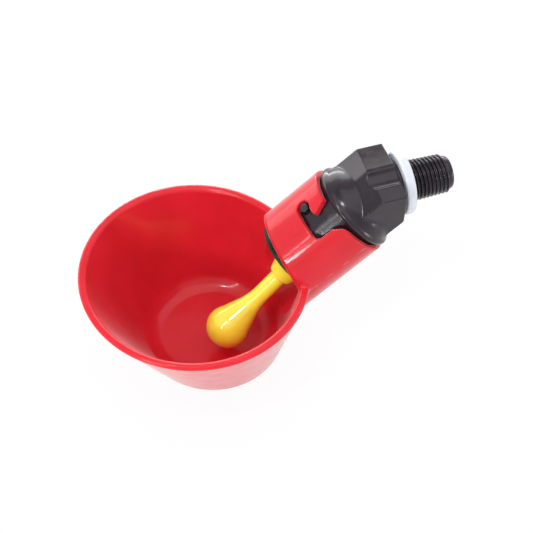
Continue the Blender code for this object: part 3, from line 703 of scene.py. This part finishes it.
def crossed_cells(inside):
    """Whether the surface crosses each grid cell: some of its corners are inside, others not."""
    count = [size - 1 for size in inside.shape]
    total = np.zeros(count, np.uint8)
    for i in (0, 1):
        for j in (0, 1):
            for k in (0, 1):
                total += inside[i : i + count[0], j : j + count[1], k : k + count[2]]
    return (total > 0) & (total < 8)


def cell_points(values, axes, cells):
    """One point for each cell: the mean of the places where the surface cuts its edges."""
    points = np.zeros((len(cells), 3))
    found = np.zeros(len(cells))
    for axis in range(3):
        one, two = [a for a in range(3) if a != axis]
        for step_one in (0, 1):
            for step_two in (0, 1):
                low = cells.copy()
                low[:, one] += step_one
                low[:, two] += step_two
                high = low.copy()
                high[:, axis] += 1
                a, b = values[tuple(low.T)], values[tuple(high.T)]
                cut = (a < 0) != (b < 0)
                share = np.where(cut, a / np.where(cut, a - b, 1.0), 0.0)
                for k in range(3):
                    start, end = axes[k][low[:, k]], axes[k][high[:, k]]
                    points[:, k] += np.where(cut, start + share * (end - start), 0.0)
                found += cut
    return points / found[:, None]


def edge_quads(inside, index):
    """A quad round each grid edge that the surface cuts, from the points of the four cells there."""
    quads = []
    for axis in range(3):
        one, two = [a for a in range(3) if a != axis]
        low, high = [slice(None)] * 3, [slice(None)] * 3
        low[axis], high[axis] = slice(0, -1), slice(1, None)
        for side in (one, two):
            low[side] = high[side] = slice(1, -1)
        a, b = inside[tuple(low)], inside[tuple(high)]
        where = np.argwhere(a != b)
        rising = a[tuple(where.T)]
        around = []
        for step_one, step_two in ((0, 0), (1, 0), (1, 1), (0, 1)):
            cell = where.copy()
            cell[:, one] += step_one
            cell[:, two] += step_two
            around.append(index[tuple(cell.T)])
        quad = np.stack(around, 1)
        turn = ~rising if axis != 1 else rising
        quad[turn] = quad[turn][:, ::-1]
        quads.append(quad)
    return np.concatenate(quads)


def surface_nets(values, axes):
    """The surface's points, one for each grid cell that it crosses, and the quads that join them."""
    inside = values < 0.0
    crossed = crossed_cells(inside)
    cells = np.argwhere(crossed)
    index = np.full(crossed.shape, -1, np.int64)
    index[crossed] = np.arange(len(cells))
    return cell_points(values, axes, cells), edge_quads(inside, index)


def gradient(distance, points):
    """How the distance grows along x, y and z at each point."""
    slopes = []
    for k in range(3):
        shift = np.zeros(3)
        shift[k] = SLOPE_STEP
        slopes.append((distance(points + shift) - distance(points - shift)) / (2 * SLOPE_STEP))
    return np.stack(slopes, 1)


def moulding(name, distance, axes, material):
    """A mesh object of the implicit solid, its points on the surface and its normals taken from it."""
    points, quads = surface_nets(sample(distance, axes), axes)
    for _ in range(DRAW_ROUNDS):
        slope = gradient(distance, points)
        size = np.maximum((slope**2).sum(1), LEAST_SLOPE_SQUARED)
        step = slope * (distance(points) / size)[:, None]
        length = np.linalg.norm(step, axis=1)[:, None]
        points -= step * np.minimum(1.0, LONGEST_DRAW / np.maximum(length, TINY))
    slope = gradient(distance, points)
    normals = slope / np.maximum(np.linalg.norm(slope, axis=1), TINY)[:, None]
    mesh = bpy.data.meshes.new(name)
    mesh.vertices.add(len(points))
    mesh.vertices.foreach_set("co", (points * MM).astype(np.float32).ravel())
    mesh.loops.add(quads.size)
    mesh.loops.foreach_set("vertex_index", quads.astype(np.int32).ravel())
    mesh.polygons.add(len(quads))
    mesh.polygons.foreach_set("loop_start", np.arange(0, quads.size, 4, dtype=np.int32))
    mesh.update(calc_edges=True)
    mesh.shade_smooth()
    mesh.normals_split_custom_set_from_vertices(normals.astype(np.float32))
    mesh.materials.append(material)
    obj = bpy.data.objects.new(name, mesh)
    bpy.context.scene.collection.objects.link(obj)
    return obj


# Materials

def new_material(name):
    """A material with a Principled shader, and its node tree."""
    material = bpy.data.materials.new(name)
    material.use_nodes = True
    tree = material.node_tree
    tree.nodes.clear()
    shader = tree.nodes.new("ShaderNodeBsdfPrincipled")
    output = tree.nodes.new("ShaderNodeOutputMaterial")
    tree.links.new(shader.outputs["BSDF"], output.inputs["Surface"])
    return material, tree, shader


def noise(tree, size, detail, stretch=(1.0, 1.0, 1.0)):
    """Noise whose lumps are about this many millimetres across."""
    place = tree.nodes.new("ShaderNodeTexCoord")
    mapping = tree.nodes.new("ShaderNodeMapping")
    mapping.inputs["Scale"].default_value = [s / (size * MM) for s in stretch]
    texture = tree.nodes.new("ShaderNodeTexNoise")
    texture.inputs["Scale"].default_value = 1.0
    texture.inputs["Detail"].default_value = detail
    tree.links.new(place.outputs["Object"], mapping.inputs["Vector"])
    tree.links.new(mapping.outputs["Vector"], texture.inputs["Vector"])
    return texture.outputs["Fac"]


def vary(tree, socket, field, low, high):
    """Drive a socket by a field, from low to high, which are (field's level, colour or number)."""
    node = tree.nodes.new("ShaderNodeValToRGB")
    for element, (level, value) in zip(node.color_ramp.elements, (low, high)):
        element.position = level
        element.color = (*value, 1.0) if isinstance(value, tuple) else (value, value, value, 1.0)
    tree.links.new(field, node.inputs["Fac"])
    tree.links.new(node.outputs["Color"], socket)


def bump(tree, shader, layers):
    """Bumps laid over each other, from (height, depth in millimetres) layers."""
    below = None
    for height, depth in layers:
        node = tree.nodes.new("ShaderNodeBump")
        node.inputs["Distance"].default_value = depth * MM
        tree.links.new(height, node.inputs["Height"])
        if below:
            tree.links.new(below, node.inputs["Normal"])
        below = node.outputs["Normal"]
    tree.links.new(below, shader.inputs["Normal"])


def red_plastic():
    """Glossy red polypropylene: slow waves in its skin, faint flow marks and uneven gloss."""
    material, tree, shader = new_material("red_plastic")
    flow = noise(tree, size=14.0, detail=3.0)
    dark, pale = (0.60, 0.012, 0.022), (0.68, 0.016, 0.032)
    vary(tree, shader.inputs["Base Color"], flow, (0.3, dark), (0.7, pale))
    scuffs = noise(tree, size=5.0, detail=6.0)
    vary(tree, shader.inputs["Roughness"], scuffs, (0.35, 0.28), (0.7, 0.36))
    shader.inputs["IOR"].default_value = 1.45
    shader.inputs["Specular IOR Level"].default_value = 0.2
    shader.inputs["Coat Weight"].default_value = 0.35
    shader.inputs["Coat Roughness"].default_value = 0.08
    shader.inputs["Sheen Weight"].default_value = 0.5
    shader.inputs["Sheen Roughness"].default_value = 0.25
    shader.inputs["Subsurface Weight"].default_value = 0.5
    shader.inputs["Subsurface Radius"].default_value = (1.0, 0.1, 0.1)
    shader.inputs["Subsurface Scale"].default_value = 3.0 * MM
    waves = noise(tree, size=9.0, detail=1.0)
    ripples = noise(tree, size=3.0, detail=2.0)
    grain = noise(tree, size=0.6, detail=3.0)
    bump(tree, shader, [(waves, 0.1), (ripples, 0.02), (grain, 0.003)])
    return material


def black_plastic():
    """Black acetal with a fine grain, a little paler and duller in patches."""
    material, tree, shader = new_material("black_plastic")
    cloud = noise(tree, size=6.0, detail=5.0)
    dark, pale = (0.010, 0.005, 0.010), (0.024, 0.015, 0.024)
    vary(tree, shader.inputs["Base Color"], cloud, (0.3, dark), (0.75, pale))
    rubbed = noise(tree, size=3.0, detail=5.0)
    vary(tree, shader.inputs["Roughness"], rubbed, (0.3, 0.13), (0.75, 0.28))
    shader.inputs["IOR"].default_value = 1.5
    waves = noise(tree, size=4.0, detail=1.0)
    grain = noise(tree, size=0.35, detail=3.0)
    bump(tree, shader, [(waves, 0.02), (grain, 0.012)])
    return material


def yellow_plastic():
    """Glossy yellow plastic, a little translucent."""
    material, tree, shader = new_material("yellow_plastic")
    cloud = noise(tree, size=8.0, detail=3.0)
    dark, pale = (0.95, 0.80, 0.05), (0.98, 0.87, 0.08)
    vary(tree, shader.inputs["Base Color"], cloud, (0.3, dark), (0.7, pale))
    scuffs = noise(tree, size=3.0, detail=5.0)
    vary(tree, shader.inputs["Roughness"], scuffs, (0.35, 0.10), (0.7, 0.16))
    shader.inputs["Subsurface Weight"].default_value = 0.6
    shader.inputs["Subsurface Radius"].default_value = (1.0, 0.8, 0.1)
    shader.inputs["Subsurface Scale"].default_value = 4.0 * MM
    shader.inputs["Coat Weight"].default_value = 1.0
    shader.inputs["Coat Roughness"].default_value = 0.07
    waves = noise(tree, size=5.0, detail=1.0)
    grain = noise(tree, size=0.5, detail=3.0)
    bump(tree, shader, [(waves, 0.03), (grain, 0.003)])
    return material


def milky_plastic():
    """The sealing washer's translucent, slightly hazy soft plastic."""
    material, tree, shader = new_material("milky_plastic")
    cloud = noise(tree, size=3.5, detail=4.0)
    dark, pale = (0.74, 0.77, 0.85), (0.86, 0.88, 0.94)
    vary(tree, shader.inputs["Base Color"], cloud, (0.3, dark), (0.75, pale))
    haze = noise(tree, size=2.0, detail=4.0)
    vary(tree, shader.inputs["Roughness"], haze, (0.3, 0.28), (0.7, 0.42))
    shader.inputs["IOR"].default_value = 1.42
    shader.inputs["Transmission Weight"].default_value = 0.15
    shader.inputs["Subsurface Weight"].default_value = 0.4
    shader.inputs["Subsurface Radius"].default_value = (0.8, 0.9, 1.0)
    shader.inputs["Subsurface Scale"].default_value = 2.0 * MM
    bump(tree, shader, [(noise(tree, size=1.2, detail=3.0), 0.012)])
    return material


def dark_green_plastic():
    """The seat retainer's dark green plastic."""
    material, tree, shader = new_material("dark_green_plastic")
    cloud = noise(tree, size=5.0, detail=4.0)
    dark, pale = (0.006, 0.022, 0.014), (0.012, 0.038, 0.026)
    vary(tree, shader.inputs["Base Color"], cloud, (0.3, dark), (0.7, pale))
    scuffs = noise(tree, size=2.5, detail=4.0)
    vary(tree, shader.inputs["Roughness"], scuffs, (0.3, 0.4), (0.7, 0.55))
    shader.inputs["Specular IOR Level"].default_value = 0.2
    bump(tree, shader, [(noise(tree, size=0.5, detail=3.0), 0.005)])
    return material


def black_rubber():
    """The seat ring's moulded rubber."""
    material, tree, shader = new_material("black_rubber")
    cloud = noise(tree, size=1.5, detail=4.0)
    dark, pale = (0.014, 0.014, 0.014), (0.028, 0.027, 0.026)
    vary(tree, shader.inputs["Base Color"], cloud, (0.3, dark), (0.7, pale))
    dust = noise(tree, size=1.0, detail=4.0)
    vary(tree, shader.inputs["Roughness"], dust, (0.3, 0.55), (0.7, 0.75))
    bump(tree, shader, [(noise(tree, size=0.3, detail=3.0), 0.01)])
    return material


def drawn_wire():
    """The spring's stainless wire, with fine drawing lines."""
    material, tree, shader = new_material("drawn_wire")
    cloud = noise(tree, size=0.8, detail=4.0)
    dark, pale = (0.50, 0.49, 0.47), (0.66, 0.65, 0.63)
    vary(tree, shader.inputs["Base Color"], cloud, (0.3, dark), (0.7, pale))
    shader.inputs["Metallic"].default_value = 1.0
    lines = noise(tree, size=0.25, detail=3.0, stretch=(1.0, 1.0, 6.0))
    vary(tree, shader.inputs["Roughness"], lines, (0.3, 0.22), (0.7, 0.4))
    bump(tree, shader, [(lines, 0.004)])
    return material


def white_plastic():
    """The inlet strainer's white plastic, faintly stained by water."""
    material, tree, shader = new_material("white_plastic")
    stains = noise(tree, size=2.0, detail=4.0)
    dark, pale = (0.72, 0.70, 0.62), (0.82, 0.82, 0.79)
    vary(tree, shader.inputs["Base Color"], stains, (0.3, dark), (0.7, pale))
    scuffs = noise(tree, size=1.5, detail=4.0)
    vary(tree, shader.inputs["Roughness"], scuffs, (0.3, 0.3), (0.7, 0.45))
    bump(tree, shader, [(noise(tree, size=0.4, detail=3.0), 0.004)])
    return material


def floor_material():
    """White where the camera looks, with the object's shadow still falling on it."""
    material, tree, shader = new_material("studio_floor")
    cloud = noise(tree, size=60.0, detail=2.0)
    vary(tree, shader.inputs["Base Color"], cloud, (0.3, 0.84), (0.7, 0.86))
    shader.inputs["Roughness"].default_value = 0.9
    glow = tree.nodes.new("ShaderNodeEmission")
    path = tree.nodes.new("ShaderNodeLightPath")
    seen = path.outputs["Is Camera Ray"]
    for name in ("Is Glossy Ray", "Is Transmission Ray"):
        both = tree.nodes.new("ShaderNodeMath")
        both.operation = "MAXIMUM"
        tree.links.new(seen, both.inputs[0])
        tree.links.new(path.outputs[name], both.inputs[1])
        seen = both.outputs["Value"]
    share = tree.nodes.new("ShaderNodeMath")
    share.operation = "MULTIPLY"
    share.inputs[1].default_value = FLOOR_GLOW
    tree.links.new(seen, share.inputs[0])
    mix = tree.nodes.new("ShaderNodeMixShader")
    output = next(node for node in tree.nodes if node.type == "OUTPUT_MATERIAL")
    tree.links.new(share.outputs["Value"], mix.inputs["Fac"])
    tree.links.new(shader.outputs["BSDF"], mix.inputs[1])
    tree.links.new(glow.outputs["Emission"], mix.inputs[2])
    tree.links.new(mix.outputs["Shader"], output.inputs["Surface"])
    return material


# Camera and light

def photograph_camera():
    """The camera that took the photograph, solved from the rim, base, barrel and thread in it."""
    data = bpy.data.cameras.new("camera")
    data.lens = CAMERA_FOCAL_LENGTH
    data.sensor_width = CAMERA_SENSOR
    camera = bpy.data.objects.new("camera", data)
    bpy.context.scene.collection.objects.link(camera)
    turn = Matrix.Rotation(-CAMERA_AZIMUTH, 3, "Z")
    tilt = Matrix.Rotation(math.pi / 2 - CAMERA_ELEVATION, 3, "X")
    roll = Matrix.Rotation(CAMERA_ROLL, 3, "Z")
    camera.matrix_world = Matrix.Translation(CAMERA_PLACE) @ (turn @ tilt @ roll).to_4x4()
    bpy.context.scene.camera = camera


def softbox(name, aim, azimuth, elevation, distance, width, height, radiance):
    """A rectangular lamp that faces the aim, as bright by itself as the radiance."""
    data = bpy.data.lights.new(name, "AREA")
    data.shape = "RECTANGLE"
    data.size, data.size_y = width, height
    data.energy = radiance * math.pi * width * height
    lamp = bpy.data.objects.new(name, data)
    round_z, up = math.radians(azimuth), math.radians(elevation)
    away = Vector((math.cos(round_z) * math.cos(up), math.sin(round_z) * math.cos(up), math.sin(up)))
    lamp.location = Vector(aim) + distance * away
    lamp.rotation_euler = (-away).to_track_quat("-Z", "Y").to_euler()
    lamp.visible_camera = False
    bpy.context.scene.collection.objects.link(lamp)


def white_world():
    """A white surround: full white to the camera, and a weaker light on the object."""
    world = bpy.data.worlds.new("studio")
    world.use_nodes = True
    tree = world.node_tree
    background = tree.nodes["Background"]
    background.inputs["Color"].default_value = (1.0, 1.0, 1.0, 1.0)
    path = tree.nodes.new("ShaderNodeLightPath")
    strength = tree.nodes.new("ShaderNodeMapRange")
    strength.inputs["To Min"].default_value = WORLD_STRENGTH
    strength.inputs["To Max"].default_value = 1.0
    tree.links.new(path.outputs["Is Camera Ray"], strength.inputs["Value"])
    tree.links.new(strength.outputs["Result"], background.inputs["Strength"])
    bpy.context.scene.world = world
    bpy.context.scene.view_settings.view_transform = "Standard"


def studio_floor(level):
    """The white floor, which belongs to the studio and not to the object."""
    mesh = bpy.data.meshes.new("floor")
    half = FLOOR_SIZE / 2
    corners = [(-half, -half), (half, -half), (half, half), (-half, half)]
    mesh.from_pydata([(x, y, level) for x, y in corners], [], [(0, 1, 2, 3)])
    mesh.materials.append(floor_material())
    floor = bpy.data.objects.new("floor", mesh)
    bpy.context.scene.collection.objects.link(floor)


def studio():
    """World, softboxes and floor, placed round the CAD part's box."""
    white_world()
    low, high = CAD_BOX
    middle = [(a + b) / 2 for a, b in zip(low, high)]
    for name, sizes in SOFTBOXES.items():
        softbox(name, middle, *sizes)
    studio_floor(low[2] - FLOOR_DROP)


# Pieces: name, CAD node, body that it rides on, distance, material and grid

PIECES = [
    ("cup_moulding", "cup", "cup", cup_distance, red_plastic(), CUP_GRID),
    ("valve_moulding", "valve_body", "valve", valve_distance, black_plastic(), VALVE_GRID),
    ("peck_trigger", "trigger", "trigger", trigger_distance, yellow_plastic(), TRIGGER_GRID),
    ("face_washer", "sealing_washer", "valve", washer_distance, milky_plastic(), WASHER_GRID),
    ("throat_plug", "seat_retainer", "valve", retainer_distance, dark_green_plastic(), RETAINER_GRID),
]
for name, node, body, distance, material, grid in PIECES:
    piece = moulding(name, distance, [spaced(stretches) for stretches in grid], material)
    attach(piece, body)
    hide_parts(node)

# The pieces inside are shown by their CAD solids, with materials of their own
for node, material in (
    ("seat_ring", black_rubber()),
    ("valve_spring", drawn_wire()),
    ("inlet_strainer", white_plastic()),
):
    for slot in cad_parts[node].material_slots:
        slot.material = material

photograph_camera()
studio()
